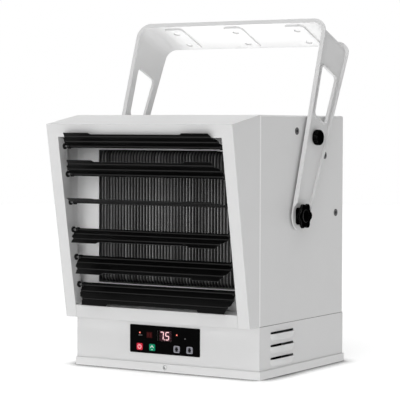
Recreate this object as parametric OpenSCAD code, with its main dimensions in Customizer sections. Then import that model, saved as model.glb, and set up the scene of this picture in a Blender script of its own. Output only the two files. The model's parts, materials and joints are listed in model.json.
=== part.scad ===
// Fan heater for a garage or workshop. A tapered steel bracket hangs it from
// a ceiling or a wall, and it tilts between the bracket's arms. A fan at the
// back blows air through a finned electric element and six steerable louvers.
// Units are millimetres. The front faces -Y and +Z is up. The origin is the
// middle of the base pan's underside.

/* [Body] */
// Width of the body, side to side
body_w = 346; // [336:1:366]
// Depth of the body, without the outlet hood
body_d = 276; // [268:1:300]
// Height of the body's top
body_h = 410; // [404:1:430]
// Height of the control base under the air chamber
base_h = 82; // [80:1:88]
// Thickness of the painted sheet steel
sheet = 1.2; // [1:0.1:1.4]
// Width of the folded flanges that join the panels
fold_w = 12; // [9:0.5:14]
// How far the control base stands back behind the air chamber
base_tail = 3; // [1:0.5:6]
// Radius of the casing's two long top edges
casing_edge_r = 3; // [2:0.5:6]

/* [Outlet hood] */
// Reach of the hood's top edge in front of the body
hood_reach = 85; // [80:1:95]
// Reach of the hood's foot in front of the body
hood_foot = 30; // [26:1:34]
// Drop of the hood's top edge below the body's top
hood_drop = 15; // [12:1:18]
// Width of the front rim round the mouth
rim_w = 20.5; // [18:0.5:22]
// Depth of the flange that returns from the rim
return_d = 21; // [20:0.5:26]
// Width of the front plate on either side of its opening
outlet_side = 43; // [42:1:53]
// Height of the front plate over and under its opening
outlet_edge = 56; // [54:1:64]

/* [Louvers] */
// Depth of the louver axes behind the rim's face
pivot_d = 14.5; // [13:0.5:16]
// From the mouth's top edge to the first louver's axis
louver_top_gap = 17.8; // [17.5:0.1:20]
// From the last louver's axis to the mouth's bottom edge
louver_foot_gap = 30.8; // [28:0.1:34]
// Thickness of a louver blade
blade_t = 0.8; // [0.6:0.1:1]
// Reach of a blade in front of its axis, at the end tabs
blade_front = 36; // [34:0.5:37]
// Reach of a blade behind its axis
blade_rear = 4; // [3.5:0.5:5.5]
// Depth of the long notch between the end tabs
notch_d = 4; // [2:0.5:6]
// Radius of the rolled edge on a louver's axis
roll_r = 2; // [1.8:0.1:2.6]
// Radius of a louver's pivot pin
pin_r = 1.6; // [1.4:0.1:1.8]
// Gap between a louver's end and the flange of the mouth
louver_end_gap = 8; // [7:0.1:10]

/* [Heating element] */
// Number of fins
fin_count = 45; // [30:1:46]
// Thickness of a fin
fin_t = 0.6; // [0.5:0.1:1]
// Depth of a fin, front to back
fin_d = 38; // [34:1:42]
// From the opening's upper and lower edges to the fins
fin_inset = 1; // [1:0.5:5]
// Corner radius of a fin
fin_r = 10; // [6:1:12]
// Radius of the heating tubes
tube_r = 4; // [3:0.5:5]
// From the fins' upper and lower ends to the outer tubes
tube_inset = 12; // [10:0.5:16]

/* [Fan] */
// Radius of the fan, over the blade tips
fan_r = 114; // [100:1:115]
// Number of fan blades
fan_blades = 5; // [3:1:7]
// Pitch angle of the fan blades
fan_pitch = 24; // [18:1:26]
// Radius of the fan's hub cup
hub_r = 31; // [26:1:34]
// Radius of the motor shaft
shaft_r = 4; // [3:0.5:5]
// Radius of the motor
motor_r = 42; // [36:1:46]
// Length of the motor, end bells included
motor_len = 50; // [40:1:56]
// Radius of the air inlet in the back panel
inlet_r = 121; // [118:1:124]
// Radius of the guard's wires
wire_r = 1.3; // [1:0.1:1.5]
// Distance between two rings of the guard
ring_pitch = 11; // [9:0.5:12]

/* [Ceiling bracket] */
// From the body's top down to the tilt axis
pivot_drop = 160; // [150:1:166]
// Depth of the tilt axis, measured from the body's middle
pivot_y = -22; // [-30:1:-10]
// Tilt of the bracket, back from the upright
bracket_tilt = 22.5; // [0:22.5:90]
// Thickness of the bracket's steel
bracket_t = 2; // [1.6:0.1:2.5]
// Gap between the body's side and a bracket arm
arm_gap = 4; // [3:0.5:5]
// From the tilt axis to the underside of the top plate
arm_len = 318.7; // [300:0.1:340]
// Radius of an arm's round lower end
arm_end_r = 23.4; // [22:0.1:26]
// Angle by which each edge of an arm flares towards the top
arm_flare = 4.06; // [3:0.01:4.5]
// Height of the flange along the bracket's edges
bracket_flange = 7.2; // [6:0.1:9]
// Inside radius of the bracket's two top corners
bracket_corner_r = 18; // [14:1:24]
// Height of the window's lower edge above the tilt axis
window_foot = 167; // [160:1:180]
// Height of the window's upper edge above the tilt axis
window_head = 252; // [235:1:260]
// Width of the arm beside the window
window_margin = 13.8; // [12:0.1:15]
// Corner radius of the window
window_r = 7; // [4:1:8]
// Height of the raised edge round the window
window_flange = 5; // [3.5:0.5:6]
// Distance between the mounting pads on the top plate
pad_pitch = 118; // [100:1:125]
// Width of a mounting pad
pad_w = 36; // [32:1:44]
// Length of a mounting pad
pad_len = 78; // [70:1:80]
// How far a mounting pad is pressed down
pad_h = 3; // [2:0.5:4]
// Distance between the two holes in a mounting pad
hole_pitch = 45; // [36:1:50]
// Radius of the ceiling holes
hole_r = 5.5; // [4:0.5:6.5]

/* [Knobs] */
// Radius of the pivot stud
stud_r = 5; // [4:0.5:5.5]
// Radius of the star knob, over its lobes
star_r = 21; // [19:0.5:22]
// Length of the star knob's square hub
star_hub_len = 7.6; // [6:0.1:9]
// Length of the star knob's lobed head
star_head_len = 3.6; // [3:0.1:8]
// Radius of the locking knob
lock_r = 12.5; // [11:0.5:13]
// Length of the locking knob
lock_len = 10; // [8:0.5:12]
// Radius of the locking stud
lock_stud_r = 3; // [2.5:0.5:3.5]
// Distance of the locking holes from the tilt axis
lock_arc_r = 135; // [128:1:138]

/* [Control base] */
// Thickness of the base pan
pan_t = 1.5; // [1.2:0.1:2]
// Height of the base pan's lip
pan_lip = 13; // [12:0.5:16]
// Width of the control panel
panel_w = 132.6; // [128:0.1:140]
// Height of the control panel
panel_h = 45; // [43:0.5:48]
// Sideways place of the control panel's middle
panel_x = -1.4; // [-5:0.1:5]
// Height of the control panel's middle
panel_z = 50.5; // [48:0.5:51]
// Side of a square button
button_w = 10.8; // [9:0.1:12]
// Travel of a button
button_travel = 0.5; // [0.3:0.1:0.6]
// Width of the display window
display_w = 28; // [24:0.5:32]
// Height of the display window
display_h = 16; // [14:0.5:17]
// Length of a side vent
vent_len = 78; // [60:1:90]
// Distance between two side vents
vent_pitch = 20; // [18:0.5:21]
// How far a side vent stands out
vent_out = 3.5; // [3:0.1:4.5]
// Height of a side vent
vent_h = 11; // [9:0.5:13]
// Height of the slot over a side vent
vent_slot = 3; // [2:0.1:4]
// Radius of the cable entry
entry_r = 14.1; // [11:0.1:17]

/* [Hidden] */
$fn = 48;

// Colours
paint = [0.87, 0.87, 0.86];
zinc = [0.62, 0.63, 0.65];
black = [0.07, 0.07, 0.08];
dark_steel = [0.3, 0.29, 0.28];
copper = [0.72, 0.42, 0.25];
board_green = [0.08, 0.3, 0.16];
lens_red = [0.8, 0.08, 0.06];
button_red = [0.75, 0.15, 0.13];
button_green = [0.1, 0.5, 0.25];
button_grey = [0.55, 0.56, 0.58];

// Fits
run_gap = 0.05;    // radial gap of a running fit
lay_gap = 0.3;     // gap between a loose piece and its seat
slip = 0.1;        // gap of a piece that slides past another
tuck = 0.005;      // how far a straight edge tucks under the arc it meets
big = 800;         // larger than the heater

// Planes of the body
x_side = body_w / 2;
y_front = -body_d / 2;
y_back = body_d / 2;
air_mid = (base_h + body_h) / 2;
panel_half = x_side - sheet - lay_gap;
panel_top = body_h - sheet - lay_gap;

// Hood and its tilted front face
y_lip = y_front - hood_reach;
z_lip = body_h - hood_drop;
face_tilt = atan((hood_reach - hood_foot) / (z_lip - base_h));
face_len = (z_lip - base_h) / cos(face_tilt);
top_slope = atan(hood_drop / hood_reach);
mouth_half = x_side - rim_w;
mouth_foot = face_len - rim_w;
seam_gap = 0.3;
outlet_w = body_w - 2 * outlet_side;
outlet_h = body_h - base_h - 2 * outlet_edge;

// Louvers: down-face places of the axes, and rest angles above the normal
louver_count = 6;
louver_first = rim_w + louver_top_gap;
louver_pitch = (mouth_foot - louver_foot_gap - louver_first) / (louver_count - 1);
louver_rest = [46.5, 50, 22, -21.5, -33, -50];
blade_half = mouth_half - louver_end_gap;
end_step = [2.5, 7, 10.5];
step_at = [13, 21, 23.5];
tab_len = 47;
bead_at = [12.5, 26];
bead_r = 3;
bead_h = 1.2;

// Bosses on a louver's ends, and bushes in the hood's return flanges
boss_r = 4;
boss_len = 4;
shoulder_r = 2.1;
bush_collar_r = 4.9;
bush_collar_t = 2.4;
bush_neck_r = 2.9;
bush_lip_t = 1.2;

// Heating element
fin_h = outlet_h - 2 * fin_inset;
fin_margin = 2.4;
fin_pitch = (outlet_w - 2 * fin_margin) / (fin_count - 1);
fin_front = y_front + 6;
fin_mid_y = fin_front + fin_d / 2;
tube_count = 6;
tube_pitch = (fin_h - 2 * tube_inset) / (tube_count - 1);
element_end = outlet_w / 2 + 1.5;
end_plate_h = fin_h + 14;
terminal_x = element_end + 16;

// Fan, motor and their carrier
fan_y = y_back - 24;
hub_len = 24;
hub_wall = 2.4;
blade_curve_r = 95;
fan_blade_t = 1.6;
motor_back = fan_y - 18;
motor_front = motor_back - motor_len;
mount_t = 1.6;
mount_w = 56;
bell_r = 6;
mount_leg_x = inlet_r + bell_r + 5;
mount_foot_w = x_side - sheet - fold_w - 4 - mount_leg_x + mount_t;

// Guard
guard_r = inlet_r + 9;
guard_rise = 12;
guard_ring_r = 1.8;
ring_count = floor((guard_r - 22) / ring_pitch);
eyelet_r = 6;
eyelet_t = 1.2;

// Bracket
pivot_z = body_h - pivot_drop;
arm_in = x_side + arm_gap;
arm_out = arm_in + bracket_t;
flange_foot = 3;
lock_angles = [0, 22.5, 45, 90];

// Rivet nuts
nut_flange_t = 0.8;
nut_wall = 1.6;
nut_len = 14;
nut_rim = 1.3;
stud_len = 12;

// Base
pan_gap = 0.2;
pan_out = x_side + pan_gap + pan_t;
pan_back = y_back + base_tail + pan_gap + pan_t;
box_back = y_back + base_tail;
panel_t = 1;
board_y = y_front + 9;
board_t = 1.6;
board_w = panel_w - 8;
board_h = panel_h - 3;
switch_h = 4;
switch_w = 6;
button_x = [-47, -23, 23.6, 47.8];
button_drop = 12.6;
button_flange = 1.4;
button_flange_t = 1.2;
display_rise = 7;
led_x = [-46.6, 23.8];
led_rise = 10;
led_r = 1.6;
vent_r = (vent_h * vent_h + vent_out * vent_out) / (2 * vent_out);
vent_front = y_front + 32;
vent_top = base_h - 14;
cover_w = 92;
cover_h = 56;
cover_z = 44;
cover_x = -90;
knock_w = 76;
knock_h = 42;
grommet_x = 118;
grommet_y = 62;
grommet_r = 9;
screw_head_r = 4;
screw_head_h = 2.2;
screw_r = 1.9;

// ---------- shapes used by several pieces ----------

// The unit vector that points out of the edge a-b of an outline that runs
// anticlockwise
function outward(a, b) = [b[1] - a[1], a[0] - b[0]] / norm(b - a);

// An outline with round corners of radius r about the given centres
module round_outline(centres, r) {
  n = len(centres);
  for (p = centres) translate(p) circle(r);
  polygon([
    for (i = [0:n - 1], end = [0, 1])
      let (a = centres[i], b = centres[(i + 1) % n])
      (end == 0 ? a : b) + (r - tuck) * outward(a, b)
  ]);
}

// A rectangle with round corners, centred
module round_rect(w, h, r) {
  square([w - 2 * r, h], center = true);
  square([w, h - 2 * r], center = true);
  for (x = [-1, 1], y = [-1, 1])
    translate([x * (w / 2 - r), y * (h / 2 - r)]) circle(r);
}

// A drawing in X and Z, pushed back along +Y from the plane y
module plate_y(y, t) {
  translate([0, y + t, 0]) rotate([90, 0, 0]) linear_extrude(t) children();
}

// A drawing in Y and Z, pushed along +X from the plane x
module plate_x(x, t) {
  translate([x, 0, 0]) rotate([90, 0, 90]) linear_extrude(t) children();
}

// A rod along X, between two places
module rod_x(x0, x1, r) {
  translate([min(x0, x1), 0, 0]) rotate([0, 90, 0])
    cylinder(r = r, h = abs(x1 - x0));
}

// A rod along Y, between two places
module rod_y(y0, y1, r) {
  translate([0, max(y0, y1), 0]) rotate([90, 0, 0])
    cylinder(r = r, h = abs(y1 - y0));
}

// A pan-head screw whose head stands on the plane y = 0 and looks along -Y
module screw(shank) {
  dome = 6;
  rod_y(0, shank, screw_r);
  intersection() {
    rod_y(-screw_head_h, 0, screw_head_r);
    translate([0, dome - screw_head_h, 0]) sphere(dome);
  }
}

module screw_hole() {
  rod_y(-3, 12, screw_r + slip);
}

module on_both_sides() {
  children();
  mirror([1, 0, 0]) children();
}

// ---------- casing ----------

// The casing's cross-section in X and Z, inset by t on three sides
module wrap_outline(t) {
  r = max(casing_edge_r - t, 0.5);
  w = x_side - t;
  top = body_h - t;
  translate([-w, base_h]) square([2 * w, top - r - base_h]);
  translate([-w + r, base_h]) square([2 * (w - r), top - base_h]);
  for (side = [-1, 1]) translate([side * (w - r), top - r]) circle(r);
}

// The flange that the casing folds in at its front or back edge
module wrap_flange() {
  difference() {
    wrap_outline(sheet);
    translate([-(x_side - sheet - fold_w), base_h - 1])
      square([2 * (x_side - sheet - fold_w), body_h - base_h - sheet - fold_w + 1]);
  }
}

module casing() {
  foot_d = body_d - 4 * sheet;
  color(paint)
  difference() {
    union() {
      plate_y(y_front, body_d) difference() {
        wrap_outline(0);
        wrap_outline(sheet);
      }
      plate_y(y_front + sheet, sheet) wrap_flange();
      plate_y(y_back - 2 * sheet, sheet) wrap_flange();
      on_both_sides()
        translate([x_side - sheet - fold_w, -foot_d / 2, base_h])
          cube([fold_w, foot_d, sheet]);
    }
    on_both_sides() translate([x_side - sheet, y_front - 1, base_h - 1])
      cube([2 * sheet, body_d + 2, 1 + seam_gap]);
    on_both_sides() nut_places() rod_x(x_side - 5, x_side + 5, lock_stud_r + nut_wall + run_gap);
    on_both_sides() at_pivot() rod_x(x_side - 5, x_side + 5, stud_r + nut_wall + run_gap);
    hood_screw_places() screw_hole();
    rear_screw_places() screw_hole();
    deck_screw_places() screw_hole();
  }
}

// ---------- tilt axis and locking holes ----------

module at_pivot() {
  translate([0, pivot_y, pivot_z]) children();
}

module nut_places() {
  for (a = lock_angles)
    translate([0, pivot_y + lock_arc_r * sin(a), pivot_z + lock_arc_r * cos(a)])
      children();
}

// A rivet nut in the casing's right side, for a stud of radius r
module rivet_nut(r) {
  difference() {
    union() {
      rod_x(x_side, x_side + nut_flange_t, r + nut_wall + nut_rim);
      rod_x(x_side - nut_len, x_side, r + nut_wall);
    }
    rod_x(x_side - nut_len - 1, x_side + 2, r + run_gap);
  }
}

module rivet_nuts() {
  color(zinc) on_both_sides() {
    nut_places() rivet_nut(lock_stud_r);
    at_pivot() rivet_nut(stud_r);
  }
}

module pivot_washers() {
  washer_r = 16;
  color(black) on_both_sides() at_pivot() difference() {
    rod_x(x_side, arm_in - slip, washer_r);
    rod_x(x_side - 1, arm_in + 1, stud_r + nut_wall + nut_rim + slip);
  }
}

// ---------- back of the air chamber ----------

// The outline of the front and back panels, cut at the casing's round edges
module panel_outline() {
  cut = casing_edge_r;
  polygon([
    [-panel_half, base_h], [panel_half, base_h], [panel_half, panel_top - cut],
    [panel_half - cut, panel_top], [-panel_half + cut, panel_top],
    [-panel_half, panel_top - cut]
  ]);
}

module rear_panel() {
  color(paint) {
    difference() {
      plate_y(y_back - sheet, sheet) panel_outline();
      translate([0, 0, air_mid]) rod_y(y_back - 3, y_back + 3, inlet_r + bell_r);
      rear_screw_places() screw_hole();
      strap_screw_places() screw_hole();
      guard_screw_places(0) screw_hole();
    }
    // bell mouth that leads the air to the fan's tips
    translate([0, y_back, air_mid]) rotate([90, 0, 0]) rotate_extrude() {
      difference() {
        intersection() {
          translate([inlet_r + bell_r, bell_r]) circle(bell_r);
          translate([inlet_r, 0]) square(bell_r);
        }
        translate([inlet_r + bell_r, bell_r]) circle(bell_r - sheet);
      }
      translate([inlet_r, bell_r]) square([sheet, 9]);
    }
  }
}

// Height of the guard's cone over the back panel, at the radius r
function guard_height(r) = y_back + guard_ring_r + guard_rise * (1 - r / guard_r);

// The guard: a thick outer ring, thinner rings on eight spokes, and a boss
module fan_guard() {
  boss_r = 15;
  spoke_tilt = atan(guard_rise / guard_r);
  boss_y = guard_height(0);
  color(black) translate([0, 0, air_mid]) {
    translate([0, guard_height(guard_r), 0]) rotate([90, 0, 0])
      rotate_extrude() translate([guard_r, 0]) circle(guard_ring_r);
    for (i = [1:ring_count]) let (r = guard_r - i * ring_pitch)
      translate([0, guard_height(r) + 1.2 * wire_r, 0]) rotate([90, 0, 0])
        rotate_extrude() translate([r, 0]) circle(wire_r);
    rod_y(boss_y - wire_r - 0.5, boss_y + wire_r + 0.5, boss_r);
    for (a = [22.5:45:337.5]) rotate([0, a, 0])
      translate([0, boss_y, 0]) rotate([0, 0, -spoke_tilt])
        rod_x(boss_r - 6, guard_r / cos(spoke_tilt), wire_r);
    for (a = [45:90:315]) rotate([0, a, 0]) guard_eyelet();
  }
}

module guard_eyelet() {
  translate([guard_r + eyelet_r, 0, 0]) difference() {
    rod_y(y_back, y_back + eyelet_t, eyelet_r);
    rod_y(y_back - 1, y_back + 3, screw_r + slip);
  }
}

module guard_screw_places(lift) {
  translate([0, 0, air_mid]) for (a = [45:90:315]) rotate([0, a, 0])
    translate([guard_r + eyelet_r, y_back + lift, 0]) rotate([0, 0, 180]) children();
}

module guard_screws() {
  color(zinc) guard_screw_places(eyelet_t) screw(eyelet_t + 6);
}

// ---------- fan and motor ----------

// One blade of the fan along +X: a curved sheet with a rounded outline
module fan_petal() {
  tip_half = 44;
  root_half = 21;
  tip_r = 12;
  intersection() {
    translate([0, 0, -30]) linear_extrude(60) intersection() {
      circle(fan_r);
      round_outline([
        [hub_r - 8, -root_half + 4], [fan_r - tip_r + 4, -tip_half + tip_r],
        [fan_r - tip_r + 4, tip_half - tip_r - 6], [hub_r - 8, root_half - 6]
      ], 6);
    }
    rotate([fan_pitch, 0, 0]) translate([0, 0, -blade_curve_r]) difference() {
      rod_x(hub_r - 1.5, fan_r + 10, blade_curve_r);
      rod_x(hub_r - 3, fan_r + 11, blade_curve_r - fan_blade_t);
    }
  }
}

module fan_blade() {
  boss_r = shaft_r + 5;
  color(dark_steel) translate([0, fan_y, air_mid]) rotate([-90, 0, 0]) {
    difference() {
      union() {
        difference() {
          translate([0, 0, -hub_len / 2]) cylinder(r = hub_r, h = hub_len);
          translate([0, 0, -hub_len / 2 - 1])
            cylinder(r = hub_r - hub_wall, h = hub_len - hub_wall + 1);
        }
        translate([0, 0, -hub_len / 2 + 4]) cylinder(r = boss_r, h = hub_len - 5);
      }
      translate([0, 0, -hub_len]) cylinder(r = shaft_r, h = 2 * hub_len);
    }
    for (i = [0:fan_blades - 1]) rotate([0, 0, i * 360 / fan_blades]) fan_petal();
  }
}

module fan_shaft() {
  color(zinc) translate([0, 0, air_mid]) {
    rod_y(motor_back - 18, fan_y + hub_len / 2 + 4, shaft_r);
  }
}

module fan_motor() {
  bell = 7;
  color(dark_steel) translate([0, 0, air_mid]) difference() {
    union() {
      rod_y(motor_front + bell, motor_back - bell, motor_r);
      rod_y(motor_front, motor_back, motor_r - 5);
      rod_y(motor_back - 1, motor_back + 3, shaft_r + 7);
      for (a = [45:90:315]) rotate([0, a, 0]) translate([motor_r - 4, 0, 0])
        rod_y(motor_front + 1, motor_back - 1, 3);
    }
    rod_y(motor_back - 20, motor_back + 5, shaft_r + run_gap);
  }
}

// A strap that carries the motor: two legs from the back panel and a web
module motor_mount() {
  leg_end = y_back - sheet;
  web_y = motor_front - mount_t;
  color(zinc) translate([0, 0, air_mid]) difference() {
    translate([0, 0, -mount_w / 2]) linear_extrude(mount_w) {
      translate([-mount_leg_x, web_y]) square([2 * mount_leg_x, mount_t]);
      for (side = [-1, 1]) {
        translate([side * (mount_leg_x - mount_t / 2) - mount_t / 2, web_y])
          square([mount_t, leg_end - web_y]);
        translate([side * (mount_leg_x - mount_t + mount_foot_w / 2) - mount_foot_w / 2,
                   leg_end - mount_t])
          square([mount_foot_w, mount_t]);
      }
    }
    // slots that let the air through the web
    for (side = [-1, 1]) translate([side * (motor_r + mount_leg_x) / 2, 0, 0])
      plate_y(web_y - 1, mount_t + 2)
        round_rect(mount_leg_x - motor_r - 26, mount_w - 24, 8);
    translate([0, 0, -air_mid]) strap_screw_places() screw_hole();
  }
}

// ---------- outlet hood ----------

// Puts a piece in the frame of the hood's front face: X across, -Y out of the
// face, and -Z down the face from its top edge
module on_face() {
  translate([0, y_lip, z_lip]) rotate([face_tilt, 0, 0]) children();
}

// The hood's side outline in Y and Z, inset from its face, top and foot
module hood_outline(face, top, foot) {
  intersection() {
    translate([y_lip, z_lip]) rotate(face_tilt) translate([face, -big / 2])
      square([big, big]);
    translate([y_front, body_h]) rotate(top_slope) translate([-big / 2, -big - top])
      square([big, big]);
    translate([y_front - big, base_h + foot]) square([big, big]);
  }
}

module outlet_hood() {
  flange_out = mouth_half + sheet;
  color(paint) difference() {
    union() {
      difference() {
        plate_x(-x_side, body_w) hood_outline(0, 0, 0);
        plate_x(-x_side + sheet, body_w - 2 * sheet) {
          hood_outline(sheet, sheet, -5);
          translate([y_front - 5, base_h - 5])
            square([10, body_h - sheet - base_h + 5]);
        }
        on_face() translate([-mouth_half, -5, -face_len - 30])
          cube([2 * mouth_half, 10, face_len + 30 - rim_w]);
      }
      // flange that returns from the mouth's sides and top
      on_face() difference() {
        translate([-flange_out, 0, -mouth_foot])
          cube([2 * flange_out, return_d, mouth_foot - rim_w + sheet]);
        translate([-mouth_half, -1, -mouth_foot - 1])
          cube([2 * mouth_half, return_d + 2, mouth_foot - rim_w + 1]);
      }
      // flange that screws to the front plate, under the top
      translate([-x_side + sheet, y_front - sheet, body_h - sheet - fold_w])
        cube([body_w - 2 * sheet, sheet, fold_w]);
    }
    on_face() for (i = [0:louver_count - 1])
      translate([0, pivot_d, -louver_first - i * louver_pitch])
        rod_x(-mouth_half - 5, mouth_half + 5, bush_neck_r + run_gap);
    hood_screw_places() screw_hole();
  }
}

// The strip below the mouth: front rim, floor, and the flanges on both
module hood_sill() {
  strip_half = mouth_half - seam_gap;
  floor_half = x_side - sheet - slip;
  color(paint) {
    intersection() {
      plate_x(-strip_half, 2 * strip_half) hood_outline(0, 0, 0);
      on_face() union() {
        translate([-strip_half, 0, -face_len - 20]) cube([2 * strip_half, sheet, rim_w + 20]);
        translate([-strip_half, 0, -mouth_foot - sheet])
          cube([2 * strip_half, return_d, sheet]);
      }
    }
    intersection() {
      union() {
        plate_x(-floor_half, 2 * floor_half) hood_outline(sheet, 0, 0);
        plate_x(-strip_half + 1, 2 * strip_half - 2) hood_outline(sheet / 2, 0, 0);
      }
      translate([-big / 2, -big / 2, 0]) cube([big, big, base_h + sheet]);
    }
    difference() {
      translate([-floor_half, y_front - sheet, base_h])
        cube([2 * floor_half, sheet, fold_w]);
      hood_screw_places() screw_hole();
    }
  }
}

// The hood's screws: three along the top and three along the sill
module hood_screw_places() {
  inset = fold_w / 2 + 1;
  side = x_side - outlet_side;
  for (x = [-side, 0, side], z = [base_h + sheet + inset, body_h - sheet - inset])
    translate([x, y_front - sheet, z]) children();
}

module hood_screws() {
  color(zinc) hood_screw_places() screw(2 * sheet + 4);
}

// ---------- louvers ----------

function louver_down(i) = louver_first + (i - 1) * louver_pitch;

// A blade's section in Y and Z: a strip with two pressed beads and a roll on
// the axis. The blade reaches along -Y from its axis.
module blade_section() {
  bead_z = bead_r - blade_t / 2 - bead_h;
  difference() {
    union() {
      translate([-blade_front, -blade_t / 2])
        square([blade_front + blade_rear, blade_t]);
      for (c = bead_at) intersection() {
        translate([-c, bead_z]) circle(bead_r);
        translate([-c - bead_r, -bead_r]) square([2 * bead_r, bead_r]);
      }
      circle(roll_r);
    }
    for (c = bead_at) translate([-c, bead_z]) circle(bead_r - blade_t);
  }
}

// A blade's outline in X and Y: stepped ends, end tabs and a long notch
module blade_outline() {
  half = [
    [blade_half, blade_rear],
    [blade_half, -step_at[0]],
    [blade_half - end_step[0], -step_at[1]],
    [blade_half - end_step[1], -step_at[2]],
    [blade_half - end_step[2], -blade_front],
    [blade_half - end_step[2] - tab_len, -blade_front],
    [blade_half - end_step[2] - tab_len - notch_d, -blade_front + notch_d]
  ];
  n = len(half);
  polygon([
    for (p = half) p,
    for (i = [n - 1:-1:0]) [-half[i][0], half[i][1]]
  ]);
}

module louver(i) {
  pin_end = mouth_half + sheet + bush_lip_t + 0.6;
  shoulder_end = mouth_half - bush_collar_t - 2 * slip;
  color(black) on_face()
    translate([0, pivot_d, -louver_down(i)]) rotate([-louver_rest[i - 1], 0, 0]) {
      intersection() {
        plate_x(-blade_half, 2 * blade_half) blade_section();
        translate([0, 0, -10]) linear_extrude(20) blade_outline();
      }
      rod_x(-pin_end, pin_end, pin_r);
      on_both_sides() {
        rod_x(blade_half - boss_len, blade_half, boss_r);
        rod_x(blade_half, shoulder_end, shoulder_r);
      }
    }
}

// A bush on the right: recessed collar, neck through the flange, and lip
module louver_bush() {
  inner = mouth_half - bush_collar_t;
  difference() {
    union() {
      rod_x(inner, mouth_half, bush_collar_r);
      rod_x(mouth_half - 1, mouth_half + sheet + 0.1, bush_neck_r);
      rod_x(mouth_half + sheet, mouth_half + sheet + bush_lip_t, bush_neck_r + 0.5);
    }
    rod_x(inner - 1, inner + 0.8, shoulder_r + 1);
    rod_x(inner - 1, mouth_half + 10, pin_r + run_gap);
  }
}

module louver_bushes() {
  color(black) for (i = [1:louver_count])
    on_both_sides() on_face() translate([0, pivot_d, -louver_down(i)]) louver_bush();
}

// ---------- front plate and heating element ----------

module baffle_plate() {
  foot_half = panel_half - fold_w - 10;
  color(paint) {
    difference() {
      plate_y(y_front, sheet) difference() {
        panel_outline();
        translate([0, air_mid]) round_rect(outlet_w, outlet_h, 2);
      }
      hood_screw_places() screw_hole();
    }
    translate([-foot_half, y_front, base_h]) cube([2 * foot_half, sheet + fold_w, sheet]);
  }
}

function tube_z(i) = air_mid + (i - (tube_count - 1) / 2) * tube_pitch;

module fin_outline() {
  difference() {
    translate([fin_mid_y, air_mid]) round_rect(fin_d, fin_h, fin_r);
    for (i = [0:tube_count - 1]) translate([fin_mid_y, tube_z(i)]) circle(tube_r + 2 * slip);
  }
}

module element_fins() {
  color(dark_steel) for (i = [0:fin_count - 1])
    plate_x((i - (fin_count - 1) / 2) * fin_pitch - fin_t / 2, fin_t) fin_outline();
}

// Hairpin tubes: straight through the fins, bent on the left, ending in
// terminals on the right
module element_tubes() {
  bend_x = element_end + 4;
  collar_r = tube_r - 0.8;
  color(copper) translate([0, fin_mid_y, 0]) {
    for (i = [0:tube_count - 1]) translate([0, 0, tube_z(i)]) {
      rod_x(-bend_x, terminal_x, tube_r);
      rod_x(terminal_x, terminal_x + 6, collar_r);
      rod_x(terminal_x + 6, terminal_x + 14, 2);
    }
    for (i = [0:2:tube_count - 2])
      translate([-bend_x, 0, (tube_z(i) + tube_z(i + 1)) / 2])
        rotate([90, -90, 0]) rotate_extrude(angle = 180)
          translate([tube_pitch / 2, 0]) circle(tube_r);
  }
}

module element_end_plates() {
  color(zinc) on_both_sides() {
    plate_x(element_end, sheet) difference() {
      translate([y_front + sheet, air_mid - end_plate_h / 2])
        square([fin_front + fin_d + 4 - y_front - sheet, end_plate_h]);
      for (i = [0:tube_count - 1])
        translate([fin_mid_y, tube_z(i)]) circle(tube_r + run_gap);
    }
    translate([element_end, y_front + sheet, air_mid - end_plate_h / 2])
      cube([fold_w, sheet, end_plate_h]);
  }
}

module limit_thermostat() {
  x = -(element_end + x_side - sheet) / 2;
  color(zinc) translate([x, 0, air_mid + 60]) {
    rod_y(y_front + sheet, y_front + sheet + 1, 7.5);
    rod_y(y_front + sheet, y_front + sheet + 9, 6.5);
    for (side = [-1, 1]) translate([side * 3.5 - 2, y_front + sheet + 8, -0.4])
      cube([4, 8, 0.8]);
  }
}

// ---------- control base ----------

// A vent pressed out of the right side: a slice of a rounded bar
module vent_bulge(r, out) {
  straight = vent_len - 2 * vent_h;
  translate([x_side + vent_out - vent_r, 0, 0]) intersection() {
    union() {
      rod_y(0, straight, r);
      sphere(r);
      translate([0, straight, 0]) sphere(r);
    }
    translate([vent_r - vent_out - out, -big / 2, -2 * vent_h]) cube([big, big, 2 * vent_h]);
  }
}

// The slot that the vent opens into, cut through the wall above the bulge
module vent_slit() {
  inset = 2.5;
  translate([x_side - 2 * sheet, inset - vent_h, 0])
    cube([2 * sheet + 0.1, vent_len - 2 * inset, vent_slot]);
}

module vent_places() {
  for (i = [0:2]) translate([0, vent_front + vent_h, vent_top - i * vent_pitch]) children();
}

// Holes of the control panel, each wider than its piece by the gap
module panel_holes(gap) {
  translate([0, panel_z + display_rise]) round_rect(display_w + 2 * gap, display_h + 2 * gap, 1);
  for (x = button_x)
    translate([x, panel_z - button_drop]) round_rect(button_w + 2 * gap, button_w + 2 * gap, 2);
  for (x = led_x) translate([x, panel_z + led_rise]) circle(led_r + gap);
}

module base_box() {
  depth = box_back - y_front;
  color(paint) difference() {
    union() {
      difference() {
        translate([-x_side, y_front, pan_t]) cube([body_w, depth, base_h - pan_t]);
        translate([-x_side + sheet, y_front + sheet, pan_t - 1])
          cube([body_w - 2 * sheet, depth - 2 * sheet, base_h - pan_t - sheet + 1]);
      }
      on_both_sides() vent_places() vent_bulge(vent_r, 0);
    }
    on_both_sides() vent_places() {
      vent_bulge(vent_r - sheet, sheet + 1);
      vent_slit();
    }
    plate_y(y_front - 1, sheet + 2) translate([panel_x, 0]) panel_holes(2 * slip);
    plate_y(box_back - sheet - 1, sheet + 2)
      translate([cover_x, cover_z]) round_rect(knock_w, knock_h, 4);
    translate([grommet_x, grommet_y, base_h - 5]) cylinder(r = grommet_r, h = 10);
    pan_screw_places() screw_hole();
    cover_screw_places() screw_hole();
    deck_screw_places() screw_hole();
  }
}

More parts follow.
